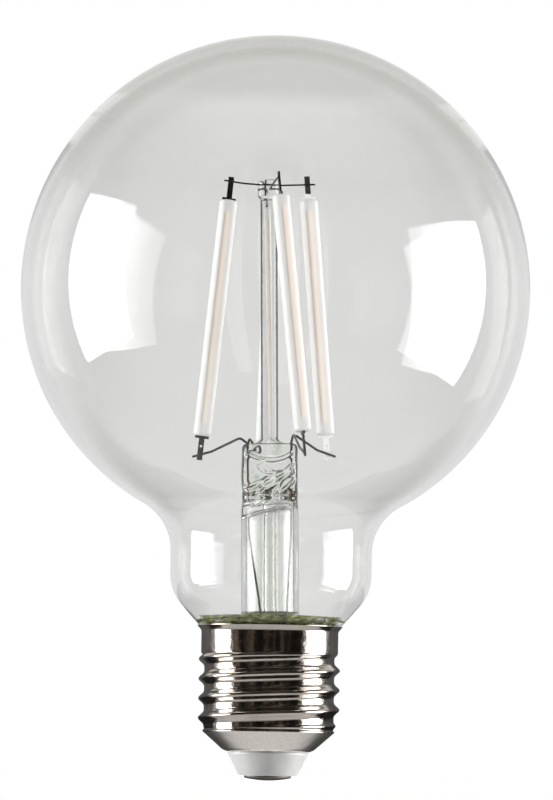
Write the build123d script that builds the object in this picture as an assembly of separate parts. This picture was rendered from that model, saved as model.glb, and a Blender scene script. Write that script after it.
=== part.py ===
from build123d import *
import os
from math import asin, atan, ceil, cos, degrees, radians, sin, sqrt, tan

# Clear globe lamp: four filaments on a glass stem inside a blown envelope, on a screw cap.
# Z is the lamp's axis, the tip of the centre contact is the origin and the globe is up.
# Lengths are in millimetres and angles in degrees.

# Glass envelope
GLOBE_DIAMETER = 95.0
LOWER_GLOBE_TUCK = 1.5
GLASS_WALL = 0.95
CROWN_WALL = 1.6
CROWN_TURN = 45.0
NECK_DIAMETER = 37.4
NECK_FILLET = 10.0
NECK_LENGTH = 4.1
SHOULDER_RADIUS = 9.0
SHOULDER_ANGLE = 42.0
TAIL_LENGTH = 3.5
CEMENT_THICKNESS = 0.35

# Centre contact and insulator
CONTACT_DIAMETER = 8.8
CONTACT_DOME = 0.45
CONTACT_EDGE = 0.43
CONTACT_ROUND = 0.25
PIN_DIAMETER = 1.6
PIN_STAND = 0.4
INSULATOR_HEIGHT = 4.42
INSULATOR_FOOT_DIAMETER = 10.8
INSULATOR_TOP_DIAMETER = 15.3
INSULATOR_FLANGE = 1.4
INSULATOR_EDGE = 0.35

# Screw shell, rolled from sheet
SHELL_WALL = 0.25
LIP_OVERLAP = 1.05
CONE_FOOT_STEP = 0.45
CONE_TOP_STEP = 0.25
CONE_HEIGHT = 3.7
CONE_FOOT_ROUND = 0.5
CONE_TOP_ROUND = 0.6
THREAD_DIAMETER = 26.2
THREAD_DEPTH = 1.05
THREAD_PITCH = 3.629
THREAD_HEIGHT = 14.4
THREAD_START = 0.55
THREAD_SHARPNESS = 2.0
SECTION_POINTS = 8
SECTIONS_PER_TURN = 8
RUN_OUT_ANGLE = 35.0
RUN_OUT_DEPTH = 0.8
WAIST_HEIGHT = 1.1
SKIRT_STEP = 0.4
SKIRT_HEIGHT = 5.1
RIM_FLARE = 0.8
SEAT_CLEARANCE = 0.05

# Stem: flare, tube, press, exhaust tube and the rod that carries the filaments
STEM_LEAN = 1.1
SEAL_RISE = 0.65
FLANGE_THICKNESS = 1.3
FLANGE_ROUND = 1.2
TUBE_DIAMETER = 10.7
TUBE_WALL = 1.0
TUBE_LENGTH = 20.5
PRESS_BLEND = 2.8
PRESS_HEIGHT = 8.7
PRESS_DEPTH = 4.6
PRESS_ROUND = 0.9
EXHAUST_DIAMETER = 3.6
EXHAUST_BORE = 1.7
EXHAUST_DROP = 3.4
EXHAUST_SOCKET = 1.0
PORT_DIAMETER = 1.6
PORT_RISE = 2.6
ROD_DIAMETER = 3.2
ROD_LENGTH = 45.9
ROD_SOCKET = 1.2
BUTTON_DIAMETER = 4.2
BUTTON_HEIGHT = 3.8
BUTTON_TAPER = 0.7
BUTTON_ROUND = 0.8

# Filaments: a strip of chips between two phosphor beads, with a metal tab at each end
FILAMENT_OVERLAP = 7.7
TAB_LENGTH = 4.5
BEAD_WIDTH = 3.2
BEAD_DEPTH = 1.4
BEAD_ROUND = 1.2
STRIP_THICKNESS = 0.3
STRIP_RECESS = 0.1
CHIP_COUNT = 26
CHIP_LENGTH = 0.9
CHIP_WIDTH = 0.6
CHIP_HEIGHT = 0.2
TAB_WIDTH = 1.0
TAB_THICKNESS = 0.3
TAB_HOLE_DIAMETER = 0.5
TAB_HOLE_RISE = 2.6
CRIMP_WIDTH = 2.6
CRIMP_HEIGHT = 0.45
HEAD_RING_RADIUS = 7.4
HEAD_STAND = 1.2

# Distance of each filament's foot from the stem's axis
LEFT_REACH = 13.6
FRONT_REACH = 12.6
RIGHT_REACH = 11.4
BACK_REACH = 12.2

# How far the leads rise from the press and splay outwards before they bend down
LEFT_RISE = 1.1
RIGHT_RISE = 1.9
LEFT_SPLAY = 1.5
RIGHT_SPLAY = 0.4
BACK_SPLAY = -0.2

# How far a filament stands above the left and back ones
FRONT_LIFT = 0.3
RIGHT_LIFT = 0.75

# Each filament's bearings at head and foot, the bearing its edge faces, and the side the wires are welded to
FILAMENTS = {
    "left": dict(head=199, foot=197, face=197, side=1, lift=0.0),
    "front": dict(head=284, foot=301, face=281, side=-1, lift=FRONT_LIFT),
    "right": dict(head=15.5, foot=18.5, face=18.5, side=-1, lift=RIGHT_LIFT),
    "back": dict(head=82, foot=96, face=96, side=1, lift=0.0),
}
FEET = {"left": LEFT_REACH, "front": FRONT_REACH, "right": RIGHT_REACH, "back": BACK_REACH}
RISES = {"left": LEFT_RISE, "front": RIGHT_RISE, "right": RIGHT_RISE, "back": LEFT_RISE}
SPLAYS = {"left": LEFT_SPLAY, "front": RIGHT_SPLAY, "right": RIGHT_SPLAY, "back": BACK_SPLAY}

# Wires
ANCHOR_DIAMETER = 0.32
ANCHOR_DROP = 0.9
ANCHOR_SAG = 0.35
ANCHOR_SPACING = 0.7
ANCHOR_OVERHANG = 1.4
LEAD_DIAMETER = 0.45
LEAD_INSET = 0.35
LEAD_DEPTH = 2.0
LEAD_BEND = 0.7
LEAD_WELD_RISE = 1.0
LEAD_OVERHANG = 1.6
LEAD_SLOPE = 22.0
SEAL_WIRE_DIAMETER = 0.36
OUTER_LEAD_DIAMETER = 0.4
OUTER_LEAD_BEND = 4.0
WELD_APPROACH = 2.2
WIRE_GAP = 0.01

# Driver in the cap, its places being shares of the board's radius
BOARD_MARGIN = 0.6
BOARD_THICKNESS = 1.0
BOARD_CLEARANCE = 0.05
BOARD_HOLE_DIAMETER = 1.2
CAPACITOR_DIAMETER = 6.3
CAPACITOR_HEIGHT = 8.5
CAPACITOR_ROUND = 0.5
CAPACITOR_PLACE = (0.5, 0.41)
RECTIFIER_SIZE = (4.8, 4.0, 1.7)
RECTIFIER_PLACE = (-0.46, 0.45)
REGULATOR_SIZE = (4.9, 3.9, 1.5)
REGULATOR_PLACE = (-0.5, -0.32)
LEG_WIDTH = 0.4
LEG_REACH = 1.0
LEG_HEIGHT = 0.6
LEG_PITCH = 1.27
FUSE_DIAMETER = 2.5
FUSE_LENGTH = 6.0
FUSE_SPAN = 8.4
FUSE_STAND = 0.4
FUSE_PLACE = (0.29, -0.55)
HOOKUP_DIAMETER = 0.6
HOOKUP_BEND = 0.9
LIVE_PAD = (0.32, 0.0)
LIVE_RISE = 1.6
NEUTRAL_REACH = 2.2
LEFT_LEAD_BEARING = 240.0
LEFT_LEAD_PAD = (-0.14, -0.27)
RIGHT_LEAD_BEARING = 0.0
RIGHT_LEAD_PAD = (0.21, 0.18)

# Levels along the axis
insulator_foot = CONTACT_DOME + CONTACT_EDGE
shell_foot = insulator_foot + INSULATOR_HEIGHT
thread_foot = shell_foot + CONE_HEIGHT
skirt_foot = thread_foot + THREAD_HEIGHT
cap_top = skirt_foot + SKIRT_HEIGHT
seal_level = cap_top + SEAL_RISE
tube_foot = seal_level + FLANGE_THICKNESS
tube_top = tube_foot + TUBE_LENGTH
press_foot = tube_top + PRESS_BLEND
press_top = press_foot + PRESS_HEIGHT
button_foot = press_top + ROD_LENGTH
button_top = button_foot + BUTTON_HEIGHT

# Radii and slopes of the cap
major_radius = THREAD_DIAMETER / 2
minor_radius = major_radius - THREAD_DEPTH
skirt_radius = major_radius - SKIRT_STEP
lip_radius = INSULATOR_TOP_DIAMETER / 2 - LIP_OVERLAP
cone_foot_radius = INSULATOR_TOP_DIAMETER / 2 + CONE_FOOT_STEP
cone_top_radius = minor_radius + CONE_TOP_STEP
cone_slope = (cone_top_radius - cone_foot_radius) / CONE_HEIGHT
cone_inset = SHELL_WALL / cos(atan(cone_slope))
shoulder_slope = tan(radians(SHOULDER_ANGLE))
rim_inset = SHELL_WALL / cos(radians(SHOULDER_ANGLE))
run_out_slope = tan(radians(RUN_OUT_ANGLE))
rim_radius = skirt_radius + RIM_FLARE

# The glass tail in the skirt
seat_radius = rim_radius - rim_inset - SEAT_CLEARANCE
cement_radius = skirt_radius - SHELL_WALL
tail_radius = cement_radius - CEMENT_THICKNESS
tail_top = cap_top - (seat_radius - tail_radius) / shoulder_slope
tail_end = tail_top - TAIL_LENGTH

# The glass above the cap: shoulder, straight neck, fillet, and a globe whose lower half is drawn in
shoulder_axis = NECK_DIAMETER / 2 - SHOULDER_RADIUS
cone_radius = shoulder_axis + SHOULDER_RADIUS * cos(radians(SHOULDER_ANGLE))
cone_level = cap_top + (cone_radius - seat_radius) / shoulder_slope
shoulder_level = cone_level + SHOULDER_RADIUS * sin(radians(SHOULDER_ANGLE))
fillet_level = shoulder_level + NECK_LENGTH
fillet_axis = NECK_DIAMETER / 2 + NECK_FILLET
lower_radius = GLOBE_DIAMETER / 2 - LOWER_GLOBE_TUCK
fillet_reach = fillet_axis - LOWER_GLOBE_TUCK
fillet_fall = sqrt((lower_radius + NECK_FILLET) ** 2 - fillet_reach**2)
globe_level = fillet_level + fillet_fall
crown_level = globe_level + GLOBE_DIAMETER / 2

# The stem leans about the middle of its seal
STEM = Pos(0, 0, seal_level) * Rot(0, -STEM_LEAN, 0) * Pos(0, 0, -seal_level)


def turned(outline):
    """A solid of revolution from a half outline drawn as radius and height."""
    return revolve(Plane.XZ * outline, Axis.Z)


def rounded(face, corner, radius):
    """The face with the corner nearest to a point rounded."""
    return fillet(face.vertices().sort_by_distance(corner)[0], radius)


def wire(points, diameter, bend):
    """A round wire along straight runs joined by bends."""
    path = FilletPolyline(*points, radius=bend)
    return sweep(Plane(path @ 0, z_dir=path % 0) * Circle(diameter / 2), path=path)


def polar(bearing, radius, height):
    return Vector(radius * cos(radians(bearing)), radius * sin(radians(bearing)), height)


# Envelope


def envelope_outline(inset, crown_inset):
    """Half outline of the blown glass, the inside being the outside drawn in by the wall."""
    turn = degrees(atan(fillet_fall / fillet_reach))
    crown_rise = tan(radians(CROWN_TURN))
    crown_reach = 1 / cos(radians(CROWN_TURN))
    ease = (crown_inset - inset) / (1 + crown_rise - crown_reach)
    dome_radius = GLOBE_DIAMETER / 2 - inset - ease
    crown_centre = (0, globe_level - ease * crown_rise)
    crown = CenterArc(crown_centre, dome_radius + ease * crown_reach, CROWN_TURN, 90 - CROWN_TURN)
    dome = CenterArc((ease, globe_level), dome_radius, 0, CROWN_TURN)
    lower = CenterArc((LOWER_GLOBE_TUCK, globe_level), lower_radius - inset, -turn, turn)
    blend = CenterArc((fillet_axis, fillet_level), NECK_FILLET + inset, 180 - turn, turn)
    neck = NECK_DIAMETER / 2 - inset
    side = Line((neck, fillet_level), (neck, shoulder_level))
    bend = SHOULDER_RADIUS - inset
    shoulder = CenterArc((shoulder_axis, shoulder_level), bend, -SHOULDER_ANGLE, SHOULDER_ANGLE)
    foot = shoulder @ 0
    tail = tail_radius - inset
    tail_level = foot.Y - (foot.X - tail) / shoulder_slope
    top = (0, crown_level - crown_inset)
    closing = Polyline(foot, (tail, tail_level), (tail, tail_end), (0, tail_end), top)
    return make_face([crown, dome, lower, blend, side, shoulder, closing])


cavity = turned(envelope_outline(GLASS_WALL, CROWN_WALL))
glass_envelope = turned(envelope_outline(0, 0)) - cavity

# Screw shell: a turned cone and skirt with a rolled thread between them


def threaded(inset):
    """The rolled thread, lofted through level sections whose crest walks round the axis."""
    minor = minor_radius - inset
    turns = ceil(THREAD_HEIGHT / THREAD_PITCH) + 1
    spacing = range(SECTION_POINTS + 1)
    sections = []
    for count in range(turns * SECTIONS_PER_TURN + 1):
        turn = count / SECTIONS_PER_TURN
        level = thread_foot + THREAD_START + (turn - 1) * THREAD_PITCH
        points = []
        for step in range(SECTION_POINTS):
            bearing = 360 * step / SECTION_POINTS
            swell = ((1 + cos(radians(bearing - 360 * turn))) / 2) ** THREAD_SHARPNESS
            points.append(polar(bearing, minor + THREAD_DEPTH * swell, level))
        sections.append(make_face(Edge.make_spline(points, periodic=True, parameters=spacing)))
    return loft(sections)


def run_outs(inset):
    """The space between two cones, where the thread fades into the cone and the skirt."""
    free = major_radius + RUN_OUT_DEPTH - inset
    low = thread_foot + THREAD_START - RUN_OUT_DEPTH
    high = skirt_foot + RUN_OUT_DEPTH
    low_radius = minor_radius - RUN_OUT_DEPTH * run_out_slope - inset
    high_radius = skirt_radius - RUN_OUT_DEPTH * run_out_slope - inset
    outline = Polyline(
        (0, low),
        (low_radius, low),
        (free, low + (free - low_radius) / run_out_slope),
        (free, high - (free - high_radius) / run_out_slope),
        (high_radius, high),
        (0, high),
        close=True,
    )
    return turned(make_face(outline))


def shell_body(inset, cone_draw, rim_draw, floor, top):
    """The shell filled solid, drawn in by its wall for the inside."""
    minor = minor_radius - inset
    skirt = skirt_radius - inset
    rim = rim_radius - rim_draw
    foot = (cone_foot_radius - cone_draw + (floor - shell_foot) * cone_slope, floor)
    shoulder = (cone_top_radius - cone_draw, thread_foot)
    waist = thread_foot + WAIST_HEIGHT
    throat = minor - RUN_OUT_DEPTH
    cone = make_face(Polyline((0, floor), foot, shoulder, (throat, waist), (0, waist), close=True))
    cone = rounded(cone, foot, CONE_FOOT_ROUND - inset)
    cone = rounded(cone, shoulder, CONE_TOP_ROUND - inset)
    flare_foot = cap_top - (rim - skirt) / shoulder_slope
    collar_foot = skirt_foot - WAIST_HEIGHT
    collar = make_face(
        Polyline(
            (0, collar_foot),
            (throat, collar_foot),
            (skirt, skirt_foot),
            (skirt, flare_foot),
            (rim + (top - cap_top) * shoulder_slope, top),
            (0, top),
            close=True,
        )
    )
    screw = threaded(inset) & run_outs(inset)
    return screw + turned(cone) + turned(collar)


shell_floor = shell_foot + SHELL_WALL
shell_inside = shell_body(SHELL_WALL, cone_inset, rim_inset, shell_floor, cap_top + SHELL_WALL)
shell_opening = Pos(0, 0, shell_foot) * Cylinder(lip_radius, 4 * SHELL_WALL)
cap_shell = shell_body(0, 0, 0, shell_foot, cap_top) - shell_inside - shell_opening

# Cement between the glass tail and the skirt
cement_middle = (tail_end + tail_top) / 2
cap_cement = Pos(0, 0, cement_middle) * (
    Cylinder(cement_radius, TAIL_LENGTH) - Cylinder(tail_radius, TAIL_LENGTH)
)

# Insulator: a cone below the shell's lip, a neck through it and a flange above it
flange_top = shell_floor + INSULATOR_FLANGE
insulator_radius = INSULATOR_TOP_DIAMETER / 2
insulator_toe = (INSULATOR_FOOT_DIAMETER / 2, insulator_foot)
insulator_brow = (insulator_radius, shell_foot)
insulator_outline = make_face(
    Polyline(
        (0, insulator_foot),
        insulator_toe,
        insulator_brow,
        (lip_radius, shell_foot),
        (lip_radius, shell_floor),
        (insulator_radius, shell_floor),
        (insulator_radius, flange_top),
        (0, flange_top),
        close=True,
    )
)
insulator_outline = rounded(insulator_outline, insulator_toe, INSULATOR_EDGE)
insulator_outline = rounded(insulator_outline, insulator_brow, INSULATOR_EDGE)
pin_top = flange_top + PIN_STAND
pin = Pos(0, 0, (insulator_foot + pin_top) / 2) * Cylinder(PIN_DIAMETER / 2, pin_top - insulator_foot)
cap_insulator = turned(insulator_outline) - pin

# Centre contact: a shallow dome on a pin through the insulator
contact_radius = CONTACT_DIAMETER / 2
contact_edge = (contact_radius, CONTACT_DOME)
dome_radius = (contact_radius**2 + CONTACT_DOME**2) / (2 * CONTACT_DOME)
dome_turn = degrees(asin(contact_radius / dome_radius))
contact_outline = make_face(
    [
        CenterArc((0, dome_radius), dome_radius, -90, dome_turn),
        Polyline(contact_edge, (contact_radius, insulator_foot), (0, insulator_foot), (0, 0)),
    ]
)
contact_outline = rounded(contact_outline, contact_edge, CONTACT_ROUND)
centre_contact = turned(contact_outline) + pin

# Filaments, in the stem's own upright frame
filament_length = ROD_LENGTH + FILAMENT_OVERLAP
bead_length = filament_length - 2 * TAB_LENGTH


def filament_frame(name):
    """Plane at the foot's tip, with Z along the filament and X towards the bearing its edge faces."""
    place = FILAMENTS[name]
    head_level = button_top + HEAD_STAND - ANCHOR_DROP + place["lift"]
    head = polar(place["head"], HEAD_RING_RADIUS, head_level)
    foot = polar(place["foot"], FEET[name], 0)
    spread = sqrt((head.X - foot.X) ** 2 + (head.Y - foot.Y) ** 2)
    foot = Vector(foot.X, foot.Y, head.Z - sqrt(filament_length**2 - spread**2))
    return Plane(origin=foot, x_dir=polar(place["face"], 1, 0), z_dir=head - foot)


def tab():
    """A tab whose tip is at the origin and whose crimp bears on the strip's end."""
    shank = Pos(0, 0, TAB_LENGTH / 2) * Box(TAB_WIDTH, TAB_THICKNESS, TAB_LENGTH)
    crimp = Pos(0, 0, TAB_LENGTH - CRIMP_HEIGHT / 2) * Box(CRIMP_WIDTH, STRIP_THICKNESS, CRIMP_HEIGHT)
    return shank + crimp


def filament_pieces():
    """Strip, beads and tabs of one filament, standing on its foot's tip."""
    bead_foot = Pos(0, 0, TAB_LENGTH)
    strip_width = BEAD_WIDTH - 2 * STRIP_RECESS
    strip = bead_foot * Pos(0, 0, bead_length / 2) * Box(strip_width, STRIP_THICKNESS, bead_length)
    chip_pitch = bead_length / (CHIP_COUNT + 1)
    chip_level = STRIP_THICKNESS / 2 + CHIP_HEIGHT / 2
    for count in range(1, CHIP_COUNT + 1):
        place = Pos(0, chip_level, count * chip_pitch)
        strip += bead_foot * place * Box(CHIP_WIDTH, CHIP_HEIGHT, CHIP_LENGTH)
    half = Rectangle(BEAD_WIDTH, BEAD_DEPTH, align=(Align.CENTER, Align.MIN))
    half = fillet(half.vertices().group_by(Axis.Y)[-1], BEAD_ROUND)
    bead = bead_foot * extrude(Pos(0, STRIP_THICKNESS / 2, 0) * half, bead_length)
    beads = (bead - strip) + Rot(0, 0, 180) * bead
    hole = Pos(0, 0, TAB_HOLE_RISE) * Rot(90, 0, 0) * Cylinder(TAB_HOLE_DIAMETER / 2, 2 * TAB_THICKNESS)
    foot_tab = tab() - hole
    head_tab = Pos(0, 0, filament_length) * Rot(180, 0, 0) * tab()
    return {"strip": strip, "phosphor": beads, "foot_tab": foot_tab, "head_tab": head_tab}


def weld(name, height, slope, diameter, overhang):
    """Approach and tip of a wire that lies against a filament's tab at a height on it."""
    frame = filament_frame(name)
    stand = FILAMENTS[name]["side"] * ((TAB_THICKNESS + diameter) / 2 + WIRE_GAP)
    out = Vector(cos(radians(slope)), 0, -sin(radians(slope)))
    middle = Vector(0, stand, height)
    return [frame.from_local_coords(middle + out * along) for along in (-WELD_APPROACH, overhang)]


# Wires of the stem


def anchor(first, second, level):
    """A wire through the button that joins two filaments' heads."""
    height = filament_length - ANCHOR_DROP
    near = weld(first, height - FILAMENTS[first]["lift"], 0, ANCHOR_DIAMETER, ANCHOR_OVERHANG)
    far = weld(second, height - FILAMENTS[second]["lift"], 0, ANCHOR_DIAMETER, ANCHOR_OVERHANG)
    entry = polar(FILAMENTS[first]["head"], BUTTON_DIAMETER / 4, level)
    leave = polar(FILAMENTS[second]["head"], BUTTON_DIAMETER / 4, level)
    return wire([near[1], near[0], entry, leave, far[0], far[1]], ANCHOR_DIAMETER, ANCHOR_SAG)


anchor_level = button_top + HEAD_STAND - 2 * ANCHOR_DROP - ANCHOR_SAG
anchor_wire_sides = anchor("left", "right", anchor_level)
anchor_wire_front_back = anchor("front", "back", anchor_level - ANCHOR_SPACING)

tube_radius = TUBE_DIAMETER / 2
bore_radius = tube_radius - TUBE_WALL
lead_offset = bore_radius - LEAD_INSET
lead_foot = press_top - LEAD_DEPTH
twin_gap = (LEAD_DIAMETER + WIRE_GAP) / 2


def lead(hand, depth, name):
    """A lead out of the press, over a bend and down to a filament's foot."""
    start = Vector(hand * lead_offset, depth, lead_foot)
    mouth = Vector(hand * lead_offset, depth, press_top)
    splay = hand * (lead_offset + SPLAYS[name])
    over = Vector(splay, depth, press_top + RISES[name])
    foot = weld(name, LEAD_WELD_RISE, LEAD_SLOPE, LEAD_DIAMETER, LEAD_OVERHANG)
    return wire([start, mouth, over, *foot], LEAD_DIAMETER, LEAD_BEND)


inner_lead_left = lead(-1, -twin_gap, "left")
branch_lead_left = lead(-1, twin_gap, "back")
inner_lead_right = lead(1, twin_gap, "right")
branch_lead_right = lead(1, -twin_gap, "front")


def seal_wire(hand):
    """The copper-clad wire through the press, up to both leads and down into the tube."""
    low = tube_top - LEAD_DIAMETER
    place = Pos(hand * lead_offset, 0, (low + lead_foot) / 2)
    return place * Cylinder(SEAL_WIRE_DIAMETER / 2, lead_foot - low)


seal_wire_left = seal_wire(-1)
seal_wire_right = seal_wire(1)
press_wires = [
    inner_lead_left,
    branch_lead_left,
    inner_lead_right,
    branch_lead_right,
    seal_wire_left,
    seal_wire_right,
]

# Exhaust tube, closed at its lower tip
exhaust_top = tube_top + EXHAUST_SOCKET
exhaust_tip = skirt_foot - EXHAUST_DROP
exhaust_outline = make_face(
    Polyline(
        (0, exhaust_tip),
        (EXHAUST_DIAMETER / 2, exhaust_tip),
        (EXHAUST_DIAMETER / 2, exhaust_top),
        (EXHAUST_BORE / 2, exhaust_top),
        (EXHAUST_BORE / 2, exhaust_tip + EXHAUST_DIAMETER),
        (0, exhaust_tip + EXHAUST_DIAMETER),
        close=True,
    )
)
exhaust_outline = rounded(exhaust_outline, (EXHAUST_DIAMETER / 2, exhaust_tip), EXHAUST_BORE)
exhaust_tube = turned(exhaust_outline)

# Rod with the button that grips the anchors
rod_foot = press_top - ROD_SOCKET
rod_outline = make_face(
    Polyline(
        (0, rod_foot),
        (ROD_DIAMETER / 2, rod_foot),
        (ROD_DIAMETER / 2, button_foot),
        (BUTTON_DIAMETER / 2, button_foot + BUTTON_TAPER),
        (BUTTON_DIAMETER / 2, button_top),
        (0, button_top),
        close=True,
    )
)
rod_outline = rounded(rod_outline, (BUTTON_DIAMETER / 2, button_top), BUTTON_ROUND)
rod_blank = turned(rod_outline)
stem_rod = rod_blank - anchor_wire_sides - anchor_wire_front_back

# Flare, tube and press in one piece of glass, trimmed to the envelope where it is sealed
flare_outline = make_face(
    Polyline(
        (bore_radius, seal_level),
        (NECK_DIAMETER / 2, seal_level),
        (NECK_DIAMETER / 2, tube_foot),
        (tube_radius, tube_foot),
        (tube_radius, tube_top),
        (bore_radius, tube_top),
        close=True,
    )
)
flare_outline = rounded(flare_outline, (tube_radius, tube_foot), FLANGE_ROUND)
flare_outline = rounded(flare_outline, (bore_radius, seal_level), FLANGE_ROUND)
jaws = make_face(
    Polyline(
        (-tube_radius, tube_top),
        (tube_radius, tube_top),
        (PRESS_DEPTH / 2, press_foot),
        (PRESS_DEPTH / 2, press_top),
        (-PRESS_DEPTH / 2, press_top),
        (-PRESS_DEPTH / 2, press_foot),
        close=True,
    )
)
gather = Pos(0, 0, (tube_top + press_top) / 2) * Cylinder(tube_radius, press_top - tube_top)
press = extrude(Plane.YZ * jaws, tube_radius, both=True) & gather
press = fillet(press.edges().group_by(Axis.Z)[-1], PRESS_ROUND)
port_level = exhaust_top + PORT_RISE
port_riser = Pos(0, 0, (exhaust_top + port_level) / 2) * Cylinder(EXHAUST_BORE / 2, PORT_RISE)
port_mouth = Pos(0, 0, port_level) * Rot(90, 0, 0) * Cylinder(
    PORT_DIAMETER / 2, TUBE_DIAMETER, align=(Align.CENTER, Align.CENTER, Align.MIN)
)
flare_blank = turned(flare_outline) + press
exhaust_core = Pos(0, 0, tube_top) * Cylinder(EXHAUST_DIAMETER / 2, 2 * EXHAUST_SOCKET)
for tool in [exhaust_core, port_riser, port_mouth, rod_blank, *press_wires]:
    flare_blank -= tool
stem_flare = (STEM * flare_blank) & cavity

# Driver board, seated on the inside of the shell's cone
board_radius = minor_radius - SHELL_WALL - BOARD_MARGIN
board_foot = shell_foot + (board_radius + BOARD_CLEARANCE + cone_inset - cone_foot_radius) / cone_slope
board_top = board_foot + BOARD_THICKNESS
driver_board = Pos(0, 0, (board_foot + board_top) / 2) * (
    Cylinder(board_radius, BOARD_THICKNESS) - Cylinder(BOARD_HOLE_DIAMETER / 2, BOARD_THICKNESS)
)


def on_board(place, rise=0):
    """A point over the board, from a place in shares of the board's radius."""
    return Vector(place[0] * board_radius, place[1] * board_radius, board_top + rise)


def chip_package(size, place, pairs):
    """A moulded package on the board with bent legs along two sides."""
    length, width, height = size
    package = Pos(0, 0, LEG_HEIGHT / 2 + height / 2) * Box(length, width, height - LEG_HEIGHT / 2)
    for count in range(pairs):
        along = (count - (pairs - 1) / 2) * LEG_PITCH
        for hand in (-1, 1):
            foot = Box(LEG_WIDTH, LEG_REACH, LEG_HEIGHT, align=(Align.CENTER, Align.CENTER, Align.MIN))
            package += Pos(along, hand * (width + LEG_REACH - LEG_WIDTH) / 2, 0) * foot
    return Pos(on_board(place)) * package


bridge_rectifier = chip_package(RECTIFIER_SIZE, RECTIFIER_PLACE, 2)
current_regulator = chip_package(REGULATOR_SIZE, REGULATOR_PLACE, 4)

capacitor_can = Cylinder(
    CAPACITOR_DIAMETER / 2, CAPACITOR_HEIGHT, align=(Align.CENTER, Align.CENTER, Align.MIN)
)
capacitor_can = fillet(capacitor_can.edges().group_by(Axis.Z)[-1], CAPACITOR_ROUND)
smoothing_capacitor = Pos(on_board(CAPACITOR_PLACE)) * capacitor_can

fuse_level = FUSE_STAND + FUSE_DIAMETER / 2
fuse_body = Pos(0, 0, fuse_level) * Rot(0, 90, 0) * Cylinder(FUSE_DIAMETER / 2, FUSE_LENGTH)
fuse_legs = wire(
    [
        (-FUSE_SPAN / 2, 0, 0),
        (-FUSE_SPAN / 2, 0, fuse_level),
        (FUSE_SPAN / 2, 0, fuse_level),
        (FUSE_SPAN / 2, 0, 0),
    ],
    HOOKUP_DIAMETER,
    HOOKUP_DIAMETER,
)
fuse_resistor = Pos(on_board(FUSE_PLACE)) * (fuse_body + fuse_legs)

# Wires of the cap
live_wire = wire(
    [(0, 0, pin_top), on_board((0, 0), LIVE_RISE), on_board(LIVE_PAD, LIVE_RISE), on_board(LIVE_PAD)],
    HOOKUP_DIAMETER,
    HOOKUP_BEND,
)
root_level = thread_foot + THREAD_START + THREAD_PITCH
root_radius = minor_radius - SHELL_WALL - WIRE_GAP
neutral_pad = root_radius - NEUTRAL_REACH
neutral_wire = wire(
    [(-neutral_pad, 0, board_top), (-neutral_pad, 0, root_level), (-root_radius, 0, root_level)],
    HOOKUP_DIAMETER,
    HOOKUP_BEND,
)


def outer_lead(hand, bearing, pad):
    """A lead from the seal wire's end down the tube, past the exhaust tube, to the board."""
    start = Vector(hand * lead_offset, 0, tube_top - LEAD_DIAMETER)
    below = start - Vector(0, 0, OUTER_LEAD_BEND)
    mouth = polar(bearing, (EXHAUST_DIAMETER / 2 + bore_radius) / 2, tube_foot)
    upper = [(STEM * Pos(point)).position for point in (start, below, mouth)]
    lower = [on_board(pad, exhaust_tip - board_top), on_board(pad)]
    return wire(upper + lower, OUTER_LEAD_DIAMETER, OUTER_LEAD_BEND / 2)


outer_lead_left = outer_lead(-1, LEFT_LEAD_BEARING, LEFT_LEAD_PAD)
outer_lead_right = outer_lead(1, RIGHT_LEAD_BEARING, RIGHT_LEAD_PAD)

# Nodes
nodes = {
    "glass_envelope": glass_envelope,
    "stem_flare": stem_flare,
    "exhaust_tube": STEM * exhaust_tube,
    "stem_rod": STEM * stem_rod,
    "anchor_wire_sides": STEM * anchor_wire_sides,
    "anchor_wire_front_back": STEM * anchor_wire_front_back,
    "inner_lead_left": STEM * inner_lead_left,
    "inner_lead_right": STEM * inner_lead_right,
    "branch_lead_left": STEM * branch_lead_left,
    "branch_lead_right": STEM * branch_lead_right,
    "seal_wire_left": STEM * seal_wire_left,
    "seal_wire_right": STEM * seal_wire_right,
    "outer_lead_left": outer_lead_left,
    "outer_lead_right": outer_lead_right,
    "cap_shell": cap_shell,
    "cap_cement": cap_cement,
    "cap_insulator": cap_insulator,
    "centre_contact": centre_contact,
    "driver_board": driver_board,
    "bridge_rectifier": bridge_rectifier,
    "current_regulator": current_regulator,
    "smoothing_capacitor": smoothing_capacitor,
    "fuse_resistor": fuse_resistor,
    "live_wire": live_wire,
    "neutral_wire": neutral_wire,
}
pieces = filament_pieces()
for name in FILAMENTS:
    frame = filament_frame(name)
    for kind, piece in pieces.items():
        nodes[f"filament_{name}_{kind}"] = STEM * frame.location * piece

os.makedirs("parts", exist_ok=True)
for name, solid in nodes.items():
    export_step(solid, f"parts/{name}.step")
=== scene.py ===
from math import atan2, copysign, cos, degrees, exp, hypot, pi, radians, sin, sqrt, tan

import bpy
from mathutils import Matrix, Vector, noise


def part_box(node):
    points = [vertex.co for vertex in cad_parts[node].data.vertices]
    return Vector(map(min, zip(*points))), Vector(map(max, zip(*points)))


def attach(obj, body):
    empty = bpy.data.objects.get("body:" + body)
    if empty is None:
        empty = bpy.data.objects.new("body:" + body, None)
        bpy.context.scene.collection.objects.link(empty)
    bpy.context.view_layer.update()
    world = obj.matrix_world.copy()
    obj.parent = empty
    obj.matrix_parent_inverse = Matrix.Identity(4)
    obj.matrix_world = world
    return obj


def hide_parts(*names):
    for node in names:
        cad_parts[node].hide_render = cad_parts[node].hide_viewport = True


# Clear globe lamp: four filaments on a glass stem inside a blown envelope, on a screw cap.
# The lamp's axis is Z, its contact's tip is the origin, and the photograph looks along +Y.

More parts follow.
